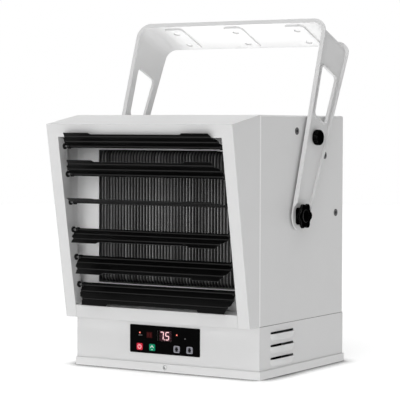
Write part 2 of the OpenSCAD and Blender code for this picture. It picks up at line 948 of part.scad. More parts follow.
module base_pan() {
  w = 2 * pan_out;
  depth = pan_back + pan_out - x_side - y_front;
  front = y_front - (pan_out - x_side);
  color(paint) difference() {
    translate([-pan_out, front, 0]) cube([w, depth, pan_lip]);
    translate([-pan_out + pan_t, front + pan_t, pan_t])
      cube([w - 2 * pan_t, depth - 2 * pan_t, pan_lip]);
    pan_screw_places() screw_hole();
  }
}

// The pan's two screws, in the middle of its front and its back
module pan_screw_places() {
  z = (pan_lip + pan_t) / 2 - 0.5;
  translate([0, y_front - pan_gap - pan_t, z]) children();
  translate([0, pan_back, z]) rotate([0, 0, 180]) children();
}

module pan_screws() {
  color(zinc) pan_screw_places() screw(pan_t + sheet + 4);
}

module deck_grommet() {
  color(black) translate([grommet_x, grommet_y, base_h - sheet]) difference() {
    union() {
      translate([0, 0, -1.5]) cylinder(r = grommet_r + 2, h = 1.5);
      cylinder(r = grommet_r, h = sheet);
      translate([0, 0, sheet]) cylinder(r = grommet_r + 2, h = 1.5);
    }
    translate([0, 0, -5]) cylinder(r = grommet_r - 2, h = 12);
  }
}

module wiring_cover() {
  color(paint) plate_y(box_back, sheet) translate([cover_x, cover_z]) difference() {
    round_rect(cover_w, cover_h, 4);
    circle(entry_r);
    for (side = [-1, 1]) translate([side * (cover_w / 2 - 5), 0]) circle(screw_r + slip);
  }
}

module cover_screw_places() {
  for (side = [-1, 1])
    translate([cover_x + side * (cover_w / 2 - 5), box_back + sheet, cover_z])
      rotate([0, 0, 180]) children();
}

module cover_screws() {
  color(zinc) cover_screw_places() screw(sheet + 5);
}

module control_panel() {
  color(black) plate_y(y_front - panel_t, panel_t) translate([panel_x, 0]) difference() {
    translate([0, panel_z]) round_rect(panel_w, panel_h, 2);
    panel_holes(2 * slip);
  }
}

module display_window() {
  color(lens_red) plate_y(y_front - panel_t, panel_t + 4)
    translate([panel_x, panel_z + display_rise]) round_rect(display_w, display_h, 1);
}

module display_module() {
  color(black) plate_y(y_front + 4, board_y - y_front - 4)
    translate([panel_x, panel_z + display_rise]) square([display_w - 1, display_h - 1], center = true);
}

module control_board() {
  color(board_green) plate_y(board_y, board_t)
    translate([panel_x, panel_z]) round_rect(board_w, board_h, 2);
}

module board_standoffs() {
  color(zinc) for (x = [-1, 1], z = [-1, 1])
    translate([panel_x + x * (board_w / 2 - 3.5), 0, panel_z + z * (board_h / 2 - 3.5)])
      rod_y(y_front + sheet, board_y, 2.5);
}

module tact_switches() {
  color(zinc) for (x = button_x) translate([panel_x + x, 0, panel_z - button_drop]) {
    plate_y(board_y - switch_h + 1, switch_h - 1) square(switch_w, center = true);
    rod_y(board_y - switch_h, board_y, 1.7);
  }
}

module indicator_leds() {
  color(lens_red) for (x = led_x) translate([panel_x + x, 0, panel_z + led_rise]) {
    rod_y(y_front - panel_t, board_y, led_r);
    translate([0, y_front - panel_t, 0]) sphere(led_r);
  }
}

// A button: cap, retaining flange behind the front sheet, and a short stem
module button(i) {
  flange_y = y_front + sheet + lay_gap;
  stem_end = board_y - switch_h - button_travel - lay_gap;
  translate([panel_x + button_x[i], 0, panel_z - button_drop]) {
    plate_y(y_front - panel_t - 1.2, flange_y - y_front + panel_t + 1.2)
      round_rect(button_w, button_w, 2);
    plate_y(flange_y, button_flange_t)
      round_rect(button_w + 2 * button_flange, button_w + 2 * button_flange, 2);
    rod_y(flange_y, stem_end, 2.2);
  }
}

module button_power() { color(button_red) button(0); }

module button_mode() { color(button_green) button(1); }

module button_up() { color(button_grey) button(2); }

module button_down() { color(button_grey) button(3); }

// Three-pole terminal block: a stepped bar with walls between the poles
module terminal_block() {
  pole = 22;
  wall = 2;
  color(black) translate([cover_x, y_back - 50, pan_t]) {
    difference() {
      translate([-1.5 * pole - wall, -18, 0]) cube([3 * pole + 2 * wall, 36, 14]);
      for (i = [-1:1], side = [-1, 1])
        translate([i * pole, side * 11, 8]) cylinder(r = 4, h = 10);
    }
    for (i = [-1.5:1:1.5]) translate([i * pole - wall / 2, -18, 13])
      cube([wall, 36, 9]);
  }
}

module contactor() {
  color(black) translate([70, 50, pan_t]) {
    translate([-26, -30, 0]) cube([52, 60, 4]);
    translate([-22, -26, 3]) cube([44, 52, 34]);
    translate([-15, -20, 36]) cube([30, 40, 14]);
    for (x = [-14, 0, 14], side = [-1, 1])
      translate([x - 4, side * 22 - 4, 36]) cube([8, 8, 3]);
  }
}

module transformer() {
  color(dark_steel) translate([-20, -40, pan_t]) {
    translate([-22, -15, 0]) cube([44, 30, 36]);
    translate([-14, -22, 7]) cube([28, 44, 22]);
    translate([-30, -12, 0]) cube([60, 24, 1.6]);
  }
}

// The back panel's screws, round its edge
module rear_screw_places() {
  edge_x = x_side - sheet - fold_w / 2 - 1;
  edge_z = body_h - sheet - fold_w / 2 - 1;
  for (x = [-edge_x, edge_x], z = [base_h + 25, air_mid, body_h - 40])
    translate([x, y_back, z]) rotate([0, 0, 180]) children();
  for (x = [-x_side / 2, x_side / 2])
    translate([x, y_back, edge_z]) rotate([0, 0, 180]) children();
}

// The screws that hold the motor's strap to the back panel
module strap_screw_places() {
  x = mount_leg_x - mount_t + mount_foot_w / 2;
  for (side = [-x, x], z = [-18, 18])
    translate([side, y_back, air_mid + z]) rotate([0, 0, 180]) children();
}

module rear_screws() {
  color(zinc) {
    rear_screw_places() screw(2 * sheet + 4);
    strap_screw_places() screw(sheet + mount_t + 4);
  }
}

// The screws that hold the casing to the base, put in from below
module deck_screw_places() {
  x = x_side - sheet - fold_w / 2 - 1;
  for (side = [-x, x], y = [-body_d / 2 + 43, body_d / 2 - 43])
    translate([side, y, base_h - sheet]) rotate([90, 0, 0]) children();
}

module deck_screws() {
  color(zinc) deck_screw_places() screw(2 * sheet + 4);
}

// ---------- ceiling bracket ----------
// Its frame: X across, Y from its front edge to its back edge, and Z up the
// arms from the tilt axis

module on_bracket() {
  at_pivot() rotate([-bracket_tilt, 0, 0]) children();
}

// The outline of the bracket's bend in X and Z, grown outwards
module bend_outline(grow) {
  w = arm_in + grow;
  inner_x = arm_in - bracket_corner_r;
  inner_z = arm_len - bracket_corner_r;
  translate([-w, -60]) square([2 * w, inner_z + 60]);
  translate([-inner_x, 0]) square([2 * inner_x, arm_len + grow]);
  for (side = [-1, 1]) translate([side * inner_x, inner_z])
    circle(bracket_corner_r + grow);
}

// A drawing in X and Z, extruded over the bracket's whole width
module across_bracket() {
  reach = arm_half(arm_len, 0) + 20;
  plate_y(-reach, 2 * reach) children();
}

// Half width of an arm at the height z, for an edge inset by the amount
function arm_half(z, inset) =
  (arm_end_r - tuck - inset + z * sin(arm_flare)) / cos(arm_flare);

// The arm's outline in Y and Z: round at the tilt axis, flaring to the top
module arm_outline(inset) {
  r = arm_end_r - inset;
  top = arm_half(arm_len, inset);
  foot_y = (r - tuck) * cos(arm_flare);
  foot_z = -(r - tuck) * sin(arm_flare);
  circle(r);
  polygon([
    [-foot_y, foot_z], [foot_y, foot_z], [top, arm_len],
    [top, arm_len + 20], [-top, arm_len + 20], [-top, arm_len]
  ]);
}

// The window's outline, with edges that run along the arm's own
module window_outline(grow) {
  foot = window_foot + window_r;
  head = window_head - window_r;
  foot_y = arm_half(foot, window_margin + window_r);
  head_y = arm_half(head, window_margin + window_r);
  round_outline([[-foot_y, foot], [foot_y, foot], [head_y, head], [-head_y, head]],
                window_r + grow);
}

module ceiling_bracket() {
  pads = [-pad_pitch, 0, pad_pitch];
  color(paint) on_bracket() difference() {
    union() {
      // web: both arms and the top plate in one bend
      intersection() {
        across_bracket() difference() {
          bend_outline(bracket_t);
          bend_outline(0);
        }
        plate_x(-big / 2, big) arm_outline(0);
      }
      // flange along both edges, fading out at the arms' lower ends
      intersection() {
        across_bracket() difference() {
          bend_outline(bracket_flange);
          bend_outline(0);
          for (side = [-1, 1]) polygon([
            [side * arm_in, flange_foot], [side * (arm_in + 2 * bracket_flange), 24],
            [side * (arm_in + 2 * bracket_flange), -90], [side * arm_in, -90]
          ]);
        }
        plate_x(-big / 2, big) difference() {
          arm_outline(0);
          arm_outline(bracket_t);
        }
      }
      // raised edge round each window
      on_both_sides() plate_x(arm_in, window_flange) window_outline(bracket_t);
      // pads pressed down from the top plate
      for (x = pads) translate([x, 0, arm_len - pad_h])
        linear_extrude(pad_h + bracket_t) round_rect(pad_w, pad_len, 8);
    }
    plate_x(-big / 2, big) window_outline(0);
    for (x = pads) translate([x, 0, arm_len - pad_h]) {
      translate([0, 0, bracket_t]) linear_extrude(20)
        round_rect(pad_w - 2 * bracket_t, pad_len - 2 * bracket_t, 6);
      for (y = [-hole_pitch / 2, hole_pitch / 2])
        translate([0, y, -5]) cylinder(r = hole_r, h = 20);
    }
    rod_x(-big / 2, big / 2, stud_r + run_gap);
    translate([0, 0, lock_arc_r]) rod_x(-big / 2, big / 2, lock_stud_r + run_gap);
  }
}

// ---------- knobs ----------

module star_outline() {
  lobe_r = 6.5;
  circle(star_r - 4);
  for (a = [0:60:300]) rotate(a) translate([star_r - lobe_r, 0]) circle(lobe_r);
}

// The right pivot knob: stud, square hub and lobed head
module pivot_knob() {
  hub_x = arm_out + slip;
  head_x = hub_x + star_hub_len;
  end_x = head_x + star_head_len;
  hub_w = 27;
  at_pivot() {
    rod_x(x_side - stud_len, hub_x + 1, stud_r);
    plate_x(hub_x, star_hub_len + 1) round_rect(hub_w, hub_w, 5);
    plate_x(head_x, star_head_len) star_outline();
    rod_x(end_x - 1, end_x + 0.6, star_r - 11);
  }
}

module pivot_knob_right() { color(black) pivot_knob(); }

module pivot_knob_left() { color(black) mirror([1, 0, 0]) pivot_knob(); }

// The right locking knob: a short stud through the arm and a gripped head
module lock_knob() {
  edge = 2.5;
  grips = 10;
  head_x = arm_out + slip;
  tip_x = x_side + nut_flange_t + 0.4;
  on_bracket() translate([0, 0, lock_arc_r]) {
    rod_x(tip_x, head_x + 1, lock_stud_r);
    difference() {
      translate([head_x, 0, 0]) rotate([0, 90, 0]) rotate_extrude() {
        square([lock_r - edge, lock_len]);
        translate([0, edge]) square([lock_r, lock_len - 2 * edge]);
        for (z = [edge, lock_len - edge]) translate([lock_r - edge, z]) circle(edge);
      }
      for (i = [0:grips - 1]) rotate([i * 360 / grips, 0, 0])
        translate([0, 0, lock_r + 1.2]) rod_x(head_x - 1, head_x + lock_len + 1, 2);
    }
  }
}

module lock_knob_right() { color(black) lock_knob(); }

module lock_knob_left() { color(black) mirror([1, 0, 0]) lock_knob(); }

// ---------- the pieces ----------

casing();
rear_panel();
fan_guard();
outlet_hood();
hood_sill();
baffle_plate();
element_fins();
element_tubes();
element_end_plates();
limit_thermostat();
fan_blade();
fan_shaft();
fan_motor();
motor_mount();
base_box();
base_pan();
deck_grommet();
wiring_cover();
control_panel();
display_window();
display_module();
control_board();
board_standoffs();
tact_switches();
indicator_leds();
button_power();
button_mode();
button_down();
button_up();
terminal_block();
contactor();
transformer();
ceiling_bracket();
pivot_knob_left();
pivot_knob_right();
lock_knob_left();
lock_knob_right();
pivot_washers();
rivet_nuts();
louver(1);  // louver_1
louver(2);  // louver_2
louver(3);  // louver_3
louver(4);  // louver_4
louver(5);  // louver_5
louver(6);  // louver_6
louver_bushes();
hood_screws();
rear_screws();
guard_screws();
deck_screws();
pan_screws();
cover_screws();
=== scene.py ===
# %% [markdown]
# # A fan heater for a garage ceiling
# The folded sheet metal, the louvers, the fan and the knobs of this heater
# arrive ready made and in place. This lesson is about what makes them look
# like the real thing: powder coat, black enamel, bare zinc, a printed film
# with a lit display, and the light of a plain white studio.

# %% Bring in the heater
import json
import math

import bmesh
import bpy
from mathutils import Matrix, Vector


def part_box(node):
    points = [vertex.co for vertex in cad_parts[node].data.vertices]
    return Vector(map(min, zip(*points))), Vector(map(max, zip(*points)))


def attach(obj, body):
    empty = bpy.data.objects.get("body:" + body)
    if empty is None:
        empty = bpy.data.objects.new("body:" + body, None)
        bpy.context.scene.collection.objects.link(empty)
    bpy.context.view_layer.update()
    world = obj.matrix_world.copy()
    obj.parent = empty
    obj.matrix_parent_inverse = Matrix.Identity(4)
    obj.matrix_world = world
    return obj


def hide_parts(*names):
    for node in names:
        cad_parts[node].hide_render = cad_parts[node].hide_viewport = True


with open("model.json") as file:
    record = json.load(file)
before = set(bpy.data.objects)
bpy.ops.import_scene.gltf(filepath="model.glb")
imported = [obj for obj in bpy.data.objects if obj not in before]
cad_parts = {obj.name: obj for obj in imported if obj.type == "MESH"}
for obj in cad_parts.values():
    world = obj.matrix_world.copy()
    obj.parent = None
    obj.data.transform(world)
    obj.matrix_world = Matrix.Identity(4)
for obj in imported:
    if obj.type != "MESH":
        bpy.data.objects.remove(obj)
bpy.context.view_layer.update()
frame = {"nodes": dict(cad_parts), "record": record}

print("pieces from the workshop:", len(frame["nodes"]))

# %% [markdown]
# ## Numbers that are used again and again
# Lengths are easier to think about in millimetres, and colours are easier to
# read as the tone on the screen. Blender wants metres and linear light, so
# two short functions do the translation in one place.

# %% Millimetres and tones
MM = 0.001


def light_of(tone):
    """The linear light of a tone between 0 and 1 as the screen shows it."""
    return tone / 12.92 if tone <= 0.04045 else ((tone + 0.055) / 1.055) ** 2.4


def colour(red, green=None, blue=None):
    """A colour for a shader, from one grey tone or from three tones."""
    tones = (red, red, red) if green is None else (red, green, blue)
    return (*[light_of(t) for t in tones], 1.0)


def corners(node):
    """Lowest and highest corner of a node in millimetres."""
    low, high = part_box(node)
    return low / MM, high / MM


print("a tone of 0.5 is", round(light_of(0.5), 3), "in linear light")

# %% [markdown]
# ## Finishes written as sums
# A finish is a web of small nodes, and dragging wires soon hides the idea
# behind it. Here a value that comes out of a node is wrapped in a small
# class, so `1 - mask * 0.3` adds its two Math nodes by itself. Two masks
# meet in `a * b` (both) or `a.above(b)` (either).

# %% A value on its way through a finish
class Value:
    """One output of a node; sums on it add Math nodes."""

    def __init__(self, finish, socket):
        self.finish = finish
        self.socket = socket

    def sum(self, operation, *terms):
        return self.finish.node("ShaderNodeMath", {"operation": operation},
                                dict(enumerate(terms)))

    def __add__(self, other):
        return self.sum("ADD", self, other)

    def __sub__(self, other):
        return self.sum("SUBTRACT", self, other)

    def __rsub__(self, other):
        return self.sum("SUBTRACT", other, self)

    def __mul__(self, other):
        return self.sum("MULTIPLY", self, other)

    def __truediv__(self, other):
        return self.sum("DIVIDE", self, other)

    def __gt__(self, other):
        return self.sum("GREATER_THAN", self, other)

    def __lt__(self, other):
        return self.sum("LESS_THAN", self, other)

    def __abs__(self):
        return self.sum("ABSOLUTE", self)

    def root(self):
        return self.sum("SQRT", self)

    def fraction(self):
        return self.sum("FRACT", self)

    def above(self, other):
        return self.sum("MAXIMUM", self, other)

    def below(self, other):
        return self.sum("MINIMUM", self, other)

    __radd__ = __add__
    __rmul__ = __mul__


# %% [markdown]
# ## One finish
# Every finish starts from Blender's Principled shader. `node` adds any node:
# its settings go in first, then numbers or links for its sockets. Numbers
# that never change are set on the shader itself, and only what really varies
# over the surface is wired in.

# %% A finish and its nodes
class Finish:
    """A material that is written down in words and sums."""

    def __init__(self, name):
        self.material = bpy.data.materials.new(name)
        self.material.use_nodes = True
        self.tree = self.material.node_tree
        self.shader = self.tree.nodes["Principled BSDF"]

    def node(self, kind, settings=None, inputs=None, output=0):
        made = self.tree.nodes.new(kind)
        for name, setting in (settings or {}).items():
            setattr(made, name, setting)
        for place, value in (inputs or {}).items():
            self.feed(made.inputs[place], value)
        return Value(self, made.outputs[output])

    def feed(self, socket, value):
        if isinstance(value, Value):
            self.tree.links.new(value.socket, socket)
        else:
            socket.default_value = value

    def mix(self, share, low, high):
        """Goes from the colour low to the colour high as share grows.
        Inputs 6 and 7 and output 2 of a Mix node are its colours."""
        return self.node("ShaderNodeMix", {"data_type": "RGBA"},
                         {0: share, 6: low, 7: high}, output=2)

    def surface(self, **sockets):
        for name, value in sockets.items():
            self.feed(self.shader.inputs[name.replace("_", " ")], value)
        return self.material


# %% [markdown]
# ## Where on the heater am I?
# The pieces were built in place, so their own coordinates are the heater's:
# X to the right, Y to the back, Z up. A finish that reads them stays put
# when its piece turns. Noise in those coordinates gives clouds and grain of
# a real size: the first number below is the size of a grain in millimetres.

# %% Places and grains
def place_of(finish):
    """The place on the piece in millimetres, and its three parts."""
    spot = finish.node("ShaderNodeTexCoord", output="Object")
    scaled = finish.node("ShaderNodeVectorMath", {"operation": "SCALE"},
                         {0: spot, "Scale": 1000.0})
    parts = finish.node("ShaderNodeSeparateXYZ", None, {0: scaled}).socket.node
    return scaled, [Value(finish, parts.outputs[axis]) for axis in "XYZ"]


def grain(finish, spot, size, detail=2.0):
    """Soft noise between 0 and 1 whose grains are about size across."""
    return finish.node("ShaderNodeTexNoise", {"noise_dimensions": "3D"},
                       {"Vector": spot, "Scale": 1.0 / size, "Detail": detail})


def stretched(finish, spot, x, y, z):
    """The place with its parts scaled, for grain that runs one way."""
    return finish.node("ShaderNodeVectorMath", {"operation": "MULTIPLY"},
                       {0: spot, 1: (x, y, z)})


def bumped(finish, height, depth, strength=1.0, edge=0.0):
    """A normal for a height between 0 and 1 that is depth millimetres deep.
    An edge above 0 also softens the piece's sharp edges by that radius."""
    inputs = {"Height": height, "Distance": depth * MM, "Strength": strength}
    if edge:
        inputs["Normal"] = finish.node("ShaderNodeBevel", {"samples": 4},
                                       {"Radius": edge * MM})
    return finish.node("ShaderNodeBump", None, inputs)


print("grains are given in millimetres")

# %% [markdown]
# ## Powder coat
# The housing and the bracket are steel that was sprayed with dry powder and
# baked. Powder coat is never quite flat: it has a fine orange peel about a
# millimetre across, and its tone drifts a little over a panel. It is thick
# enough to round every folded edge, and that gives each edge a thin light
# line. A bevel in the shader rounds the edges without touching the shape.
#
# A panel also has places where the coat is painted darker: a dark line at an
# open joint or at the ends of the sill, and painted shade on the inside of a
# box, the control base. It also has places where the coat is painted lighter:
# a painted highlight along a tight fold or an edge, and painted light on a
# slope or a top that faces the ceiling. Each is a mask, a sum of places that
# is 0 where nothing changes, and one helper below writes it down in words.

# %% Mix the powder coat
PEEL_SIZE, DRIFT_SIZE = 1.1, 70.0  # millimetres
IN_SHADE, IN_LIGHT = colour(0.06), colour(0.99)


def powder_coat(name, tone, gloss=0.42, shade=None, glint=None):
    """Paint with an orange peel; shade marks painted shade and dark lines, glint
    painted light.
    """
    finish = Finish(name)
    spot, (x, y, z) = place_of(finish)
    peel = grain(finish, spot, PEEL_SIZE, 1.0)
    drift = grain(finish, spot, DRIFT_SIZE, 3.0)
    coat = finish.mix(drift, colour(tone - 0.012), colour(tone + 0.006))
    if shade:
        coat = finish.mix(shade(finish, x, y, z), coat, IN_SHADE)
    if glint:
        coat = finish.mix(glint(finish, x, y, z), coat, IN_LIGHT)
    return finish.surface(
        Base_Color=coat,
        Roughness=gloss + 0.1 * drift + 0.05 * peel,
        Normal=bumped(finish, peel, 0.012, 0.5, edge=0.7))


casing_low, casing_high = corners("casing")
hood_high, sill_high = corners("outlet_hood")[1], corners("hood_sill")[1]
# Lengths in millimetres
JOINT = 0.35                # half of the open joint between two sheets
# FOLD_AT and FOLD place the painted highlight on the casing's front fold.
FOLD_AT, FOLD = 0.9, 0.7    # the casing's front fold: its middle, half of it
HOOD_EDGE, SILL_END = 1.7, 1.6
SKIN = 0.6                  # what counts as the outside of the base
WALL = 12.0                 # the base's side walls with their pressed vents
# Shares of the way to light
SKY_LIGHT, EDGE_LIGHT = 0.55, 0.6


def casing_lines(finish, x, y, z):
    """1 along the joint between the casing and the control base."""
    return abs(z - casing_low.z) < JOINT


def sky_side(finish, z):
    """Painted light, half way to light, on faces near the top that look up to the
    ceiling.
    """
    facing = finish.node("ShaderNodeTexCoord", output="Normal")
    upwards = finish.node("ShaderNodeSeparateXYZ", None, {0: facing}, output=2)
    return (upwards > 0.25) * (z > sill_high.z + 100) * SKY_LIGHT


def casing_light(finish, x, y, z):
    """Painted light on the casing's top and a painted highlight on its folded front
    edge.
    """
    return sky_side(finish, z).above(abs(y - casing_low.y - FOLD_AT) < FOLD)


def hood_light(finish, x, y, z):
    """Painted light on the hood's slope and a painted highlight on its back edge."""
    return sky_side(finish, z).above((y > hood_high.y - HOOD_EDGE) * EDGE_LIGHT)


def sill_ends(finish, x, y, z):
    """1 at the two ends of the strip under the mouth."""
    return abs(x) > sill_high.x - SILL_END


def base_inside_shade(finish, x, y, z):
    """1 on every surface of the base that looks inwards, for painted shade, and on the
    joint.
    """
    across = abs(x) < casing_high.x - SKIN
    along = (y > casing_low.y + SKIN) * (y < -casing_low.y - SKIN)
    behind = across * along * (z < casing_low.z - SKIN)
    facing = finish.node("ShaderNodeTexCoord", output="Normal")
    facing_x = finish.node("ShaderNodeSeparateXYZ", None, {0: facing})
    # A face of a side wall looks inwards when its X and its normal disagree.
    inwards = (x * facing_x < -1.0) * (abs(x) > casing_high.x - WALL)
    return behind.above(inwards).above(abs(z - casing_low.z) < JOINT)


white_coat = powder_coat("white_powder_coat", 0.87)
casing_coat = powder_coat("casing_powder_coat", 0.85, shade=casing_lines,
                          glint=casing_light)
hood_coat = powder_coat("hood_powder_coat", 0.86, glint=hood_light)
sill_coat = powder_coat("sill_powder_coat", 0.845, shade=sill_ends)
base_coat = powder_coat("base_powder_coat", 0.855, shade=base_inside_shade)
# Painted light: the baffle is given a brighter tone than the other sheets, for the
# light that reaches it between the louvers.
baffle_lit_coat = powder_coat("baffle_lit_powder_coat", 0.98)
bracket_coat = powder_coat("bracket_powder_coat", 0.845, gloss=0.4)
print("powder coats:", white_coat.name, bracket_coat.name)

# %% [markdown]
# ## Black satin enamel
# The louvers and the guard are thin steel in black enamel. The pressed beads
# of a louver get a painted highlight, a lighter tone for the light they would
# catch, and the flats between them stay nearly black.
# A bead is where the surface turns away from the blade's own direction, so
# one dot product finds it. The louvers end in bare steel pins, and there one
# comparison on X gives a mask that is 1 on the pins and 0 elsewhere.
# The blade's direction is the normal of its largest flat face.

# %% Mix the enamel, with painted highlights on the beads and bare pins for a louver
DUST = 2.2  # millimetres, the dust that baked into the enamel


def enamel(name, tone, gloss=0.3):
    finish = Finish(name)
    spot = place_of(finish)[0]
    dust = grain(finish, spot, DUST, 3.0)
    drift = grain(finish, spot, 45.0, 2.0)
    return finish.surface(
        Base_Color=finish.mix(drift, colour(tone), colour(tone + 0.02)),
        Roughness=gloss + 0.12 * drift + 0.06 * dust, Specular_IOR_Level=0.15,
        Normal=bumped(finish, dust, 0.01, 0.4, edge=0.35))


PINS_FROM = 144.7  # millimetres from the middle of a louver
BEAD_TURN = 0.93   # a face that agrees less than this with the blade is a bead


def louver_enamel(node):
    flat = max(frame["nodes"][node].data.polygons, key=lambda face: face.area).normal
    finish = Finish(node + "_enamel")
    spot, (x, y, z) = place_of(finish)
    facing = finish.node("ShaderNodeTexCoord", output="Normal")
    along = finish.node("ShaderNodeVectorMath", {"operation": "DOT_PRODUCT"},
                        {0: facing, 1: tuple(flat)}, output=1)
    dust = grain(finish, spot, DUST, 3.0)
    drift = grain(finish, spot, 45.0, 2.0)
    # Painted highlight: the beads and the blade's edges, which also turn away, get a
    # lighter tone.
    bead = abs(along) < BEAD_TURN
    pin = abs(x) > PINS_FROM
    flats = finish.mix(drift, colour(0.015), colour(0.04))
    coat = finish.mix(bead, flats, colour(0.17))
    bare = finish.mix(dust, colour(0.62), colour(0.74))
    return finish.surface(
        Base_Color=finish.mix(pin, coat, bare), Metallic=pin, Specular_IOR_Level=0.06,
        Roughness=(0.3 + 0.12 * drift + 0.06 * dust) * (1 - pin) + 0.3 * pin,
        Normal=bumped(finish, dust, 0.01, 0.4, edge=0.35))


louver_names = ["louver_%d" % i for i in range(1, 7)]
louver_finishes = {name: louver_enamel(name) for name in louver_names}
guard_black = enamel("guard_enamel", 0.08, gloss=0.45)
print("enamels:", len(louver_finishes), "for louvers and", guard_black.name)

# %% [markdown]
# ## Bare metals
# Screws, rivet nuts and the motor's strap are zinc plated, the fins are thin
# rolled steel, and the tubes are drawn. All of them are metal, so the colour
# belongs to the reflection, and what tells them apart is the grain: plated
# metal is cloudy, rolled metal has fine lines along one direction.

# %% Mix the metals
def bare_metal(name, low, high, gloss, lines=(1.0, 1.0, 1.0)):
    finish = Finish(name)
    spot = place_of(finish)[0]
    streaks = grain(finish, stretched(finish, spot, *lines), 0.8, 2.0)
    cloud = grain(finish, spot, 9.0, 2.0)
    return finish.surface(
        Base_Color=finish.mix(cloud, low, high), Metallic=1.0,
        Roughness=gloss + 0.12 * cloud + 0.06 * streaks,
        Normal=bumped(finish, streaks, 0.006, 0.5, edge=0.2))


zinc = bare_metal("zinc_plate", colour(0.66, 0.67, 0.69), colour(0.8, 0.8, 0.79), 0.28)
dull_zinc = bare_metal("dull_zinc", colour(0.34, 0.34, 0.35), colour(0.46), 0.5)
drawn_tube = bare_metal("drawn_tube", colour(0.42, 0.38, 0.35),
                        colour(0.55, 0.5, 0.46), 0.36, lines=(0.05, 1.0, 1.0))
fan_steel = bare_metal("rolled_fan_steel", colour(0.5), colour(0.62), 0.4,
                       lines=(1.0, 1.0, 0.08))
print("metals:", zinc.name, drawn_tube.name, fan_steel.name)

# %% [markdown]
# ## The fins of the heating element
# The fins are blued by their first firing. Their flat sides stay dark, but
# the front edges were sheared after rolling and show bare steel, and over the
# front of each fin lies a painted highlight, which is why the element reads as
# a row of fine grey lines. Behind the edge the painted light fades over a few
# millimetres, for the light that falls between two fins. No two fins were
# sheared or fired quite alike, so each has a tone of its own.

# %% Blue the fins
# Over this length the painted light at the front of a fin fades out.
FADE = 10.0  # millimetres behind the edge until a fin is as dark as it gets
fin_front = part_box("element_fins")[0].y / MM
fin_finish = Finish("blued_fin_steel")
spot, (x, y, z) = place_of(fin_finish)
# Bare sheared edge and painted highlight, fading behind the edge.
near_edge = 1 - ((y - fin_front) / FADE).below(1.0)
sheared_and_lit = near_edge * near_edge
by_fin = grain(fin_finish, stretched(fin_finish, spot, 1.0, 0.0, 0.01), 3.0, 0.0)
bluing = grain(fin_finish, stretched(fin_finish, spot, 1.0, 1.0, 0.15), 6.0, 3.0)
blued = fin_finish.mix(bluing, colour(0.12, 0.12, 0.125), colour(0.24, 0.235, 0.23))
edge_steel_and_light = fin_finish.mix((by_fin - 0.19) * 1.6, colour(0.42), colour(0.86))
fins = fin_finish.surface(
    Base_Color=fin_finish.mix(sheared_and_lit, blued, edge_steel_and_light),
    Metallic=0.35, Roughness=0.38 + 0.2 * bluing,
    Normal=bumped(fin_finish, bluing, 0.02, 0.3))
print("the fins start at y =", round(fin_front, 1), "mm")

# %% [markdown]
# ## Plastics, nylon, rubber and the circuit board
# Moulded plastic has a faint grain from its tool and rounds off at every
# edge. One recipe serves the terminal block, the bushes, the rubber and the
# motor's varnish: two tones and a gloss. The knobs get their own: where a
# rounded normal leaves the true one there is an edge, and the edge gets a
# grey painted highlight.

# %% Mould the plastics
TOOL_GRAIN = 0.6  # millimetres, the marks that a mould's wall leaves


def plastic(name, low, high, gloss):
    finish = Finish(name)
    spot = place_of(finish)[0]
    tool = grain(finish, spot, TOOL_GRAIN, 2.0)
    drift = grain(finish, spot, 14.0, 2.0)
    return finish.surface(
        Base_Color=finish.mix(drift, low, high), Specular_IOR_Level=0.08,
        Roughness=gloss + 0.1 * drift + 0.08 * tool,
        Normal=bumped(finish, tool, 0.02, 0.5, edge=0.4))


black_plastic = plastic("black_moulding", colour(0.01), colour(0.035), 0.3)


def knob_plastic():
    """Black, with a grey painted highlight along the edges."""
    finish = Finish("knob_moulding")
    spot = place_of(finish)[0]
    tool = grain(finish, spot, TOOL_GRAIN, 2.0)
    drift = grain(finish, spot, 9.0, 2.0)
    rounded = finish.node("ShaderNodeBevel", {"samples": 6}, {"Radius": 0.9 * MM})
    true_face = finish.node("ShaderNodeNewGeometry", output=3)  # True Normal
    bend = finish.node("ShaderNodeVectorMath", {"operation": "DOT_PRODUCT"},
                       {0: rounded, 1: true_face}, output=1)
    painted_edge_highlight = ((1 - bend) * 7.0).above(0.0).below(1.0) * drift
    black = finish.mix(drift, colour(0.004), colour(0.02))
    return finish.surface(
        Base_Color=finish.mix(painted_edge_highlight, black, colour(0.42)),
        Specular_IOR_Level=0.0, Roughness=0.5 + 0.08 * tool,
        Normal=bumped(finish, tool, 0.02, 0.5, edge=0.5))


knob_black = knob_plastic()
nylon = plastic("black_nylon", colour(0.13), colour(0.17), 0.5)
rubber = plastic("soft_rubber", colour(0.09), colour(0.12), 0.75)
motor_coat = plastic("motor_varnish", colour(0.17, 0.17, 0.18),
                     colour(0.23, 0.23, 0.24), 0.4)
print("plastics:", black_plastic.name, nylon.name, rubber.name, motor_coat.name)

# %% [markdown]
# The board inside the base is green lacquer over copper tracks. The tracks
# are stripes: a sawtooth along X that leans a little, cut off sharply, and a
# slower one along Z that breaks the stripes into runs.

# %% Lay out the board
board_finish = Finish("board_lacquer")
spot, (x, y, z) = place_of(board_finish)
TRACK_PITCH, TRACK_LEAN, TRACK_RUN = 2.4, 9.0, 13.0  # all in millimetres
lane = abs((x / TRACK_PITCH + z / TRACK_LEAN).fraction() - 0.5)
track = (lane < 0.16) * ((z / TRACK_RUN).fraction() > 0.2)
lacquer = board_finish.mix(grain(board_finish, spot, 8.0),
                           colour(0.05, 0.24, 0.13), colour(0.07, 0.3, 0.16))
board = board_finish.surface(
    Base_Color=board_finish.mix(track, lacquer, colour(0.16, 0.45, 0.24)),
    Roughness=0.32 - 0.08 * track,
    Normal=bumped(board_finish, track, 0.04, 0.6))
print("board:", board.name)

# %% [markdown]
# ## Signs that are printed with sums
# The panel is a glossy black film with a few small printed marks, and the
# keys carry simple signs. A sign is a mask: a bar is "near this X and near
# this Z", a ring is "about this far from the middle". Adding and cutting
# such masks draws everything that is needed, at any resolution.

